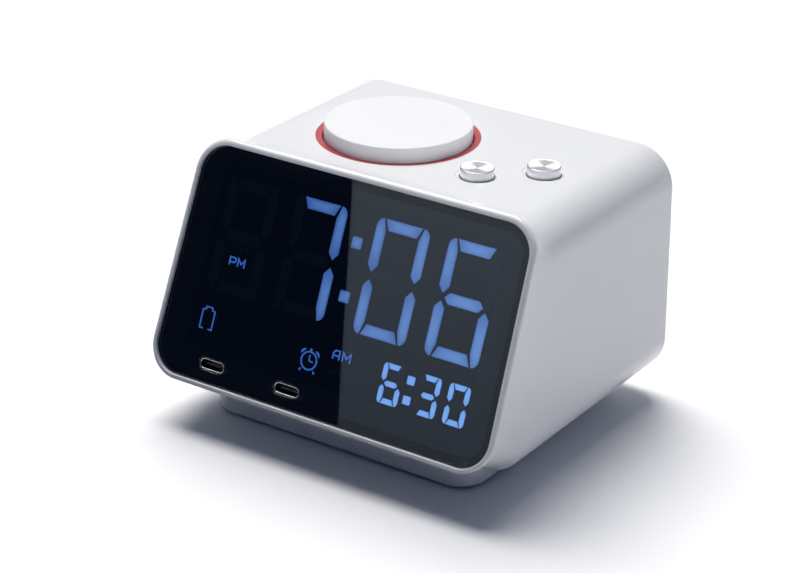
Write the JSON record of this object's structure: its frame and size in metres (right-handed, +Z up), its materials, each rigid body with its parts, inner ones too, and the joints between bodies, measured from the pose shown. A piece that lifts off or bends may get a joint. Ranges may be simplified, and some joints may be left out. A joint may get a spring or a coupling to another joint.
{
  "type": "alarm clock",
  "caption": "Bedside alarm clock with a leaning smoked display, a large round snooze button, metal top keys and front charging sockets.",
  "frame": {"origin": "middle of the footprint, on the surface that the clock stands on", "axes": "+Z up, the display faces -Y, +X to the right as seen from the front"},
  "size_m": [0.121, 0.1062, 0.0846],
  "materials": {
    "gloss_white": "glossy moulded white",
    "matte_white": "fine satin white",
    "white_plastic": "moulded white",
    "key_plastic": "satin light grey",
    "red_trim": "satin red",
    "spun_metal": "spun top, polished side",
    "smoked_lens": "smoked, glossy",
    "segment_glow": "lit blue, emissive",
    "small_glow": "lit light blue, emissive",
    "icon_glow": "dim blue, emissive",
    "lcd_glass": "dark panel",
    "light_guide": "white diffuser",
    "black_plastic": "satin black",
    "tape": "black foam tape",
    "circuit_board": "green solder mask",
    "screw_steel": "zinc plated",
    "bright_metal": "nickel plated",
    "spring_steel": "drawn wire",
    "contact_brass": "sprung strip",
    "ballast_iron": "raw steel plate",
    "foot_rubber": "soft grey rubber",
    "cone_paper": "black paper cone",
    "magnet_iron": "ferrite magnet",
    "ribbon_film": "flat flexible cable"
  },
  "bodies": {
    "housing": {"front_bezel": "gloss_white", "housing_shell": "gloss_white", "rear_cover": "gloss_white", "base_plinth": "gloss_white", "ballast_plate": "ballast_iron", "rubber_feet": "foot_rubber", "base_screws": "screw_steel", "rear_screws": "screw_steel", "front_lens": "smoked_lens", "lens_tape": "tape", "lcd_frame": "black_plastic", "lcd_glass": "lcd_glass", "lcd_backlight": "light_guide", "time_segments": "segment_glow", "alarm_segments": "small_glow", "display_icons": "icon_glow", "display_board": "circuit_board", "display_screws": "screw_steel", "main_board": "circuit_board", "control_chip": "black_plastic", "board_parts": "black_plastic", "main_screws": "screw_steel", "key_board": "circuit_board", "key_screws": "screw_steel", "key_switches": "black_plastic", "usb_board": "circuit_board", "usb_shell_left": "bright_metal", "usb_shell_right": "bright_metal", "usb_tongues": "black_plastic", "usb_screws": "screw_steel", "snooze_ring": "red_trim", "snooze_guide": "white_plastic", "snooze_spring": "spring_steel", "rear_board": "circuit_board", "rear_switches": "black_plastic", "power_inlet": "black_plastic", "inlet_pin": "bright_metal", "speaker_basket": "black_plastic", "speaker_cone": "cone_paper", "speaker_magnet": "magnet_iron", "speaker_screws": "screw_steel", "backup_cell": "bright_metal", "cell_contacts": "contact_brass", "display_ribbon": "ribbon_film", "key_ribbon": "ribbon_film"},
    "snooze": {"snooze_button": "matte_white"},
    "left_key": {"left_key_cap": "spun_metal", "left_key_stem": "white_plastic"},
    "right_key": {"right_key_cap": "spun_metal", "right_key_stem": "white_plastic"},
    "set_key_1": {"rear_key_1": "key_plastic"},
    "set_key_2": {"rear_key_2": "key_plastic"},
    "set_key_3": {"rear_key_3": "key_plastic"},
    "set_key_4": {"rear_key_4": "key_plastic"},
    "cell_door": {"battery_door": "gloss_white"}
  },
  "joints": [
    {"name": "snooze_press", "type": "slide", "parent": "housing", "child": "snooze", "axis": [0, 0, -1], "range_m": [0, 0.0012], "stiffness_N_per_m": 1200, "springref_m": -0.001, "deforming": ["snooze_spring"]},
    {"name": "left_key_press", "type": "slide", "parent": "housing", "child": "left_key", "axis": [0, 0, -1], "range_m": [0, 0.0006], "stiffness_N_per_m": 1800, "springref_m": -0.0005},
    {"name": "right_key_press", "type": "slide", "parent": "housing", "child": "right_key", "axis": [0, 0, -1], "range_m": [0, 0.0006], "stiffness_N_per_m": 1800, "springref_m": -0.0005},
    {"name": "set_key_1_press", "type": "slide", "parent": "housing", "child": "set_key_1", "axis": [0, -1, 0], "range_m": [0, 0.0006], "stiffness_N_per_m": 1800, "springref_m": -0.0005},
    {"name": "set_key_2_press", "type": "slide", "parent": "housing", "child": "set_key_2", "axis": [0, -1, 0], "range_m": [0, 0.0006], "stiffness_N_per_m": 1800, "springref_m": -0.0005},
    {"name": "set_key_3_press", "type": "slide", "parent": "housing", "child": "set_key_3", "axis": [0, -1, 0], "range_m": [0, 0.0006], "stiffness_N_per_m": 1800, "springref_m": -0.0005},
    {"name": "set_key_4_press", "type": "slide", "parent": "housing", "child": "set_key_4", "axis": [0, -1, 0], "range_m": [0, 0.0006], "stiffness_N_per_m": 1800, "springref_m": -0.0005},
    {"name": "cell_door_twist", "type": "hinge", "parent": "housing", "child": "cell_door", "pos_m": [0, 0.022, 0.0015], "axis": [0, 0, 1], "range_deg": [0, 40]}
  ]
}
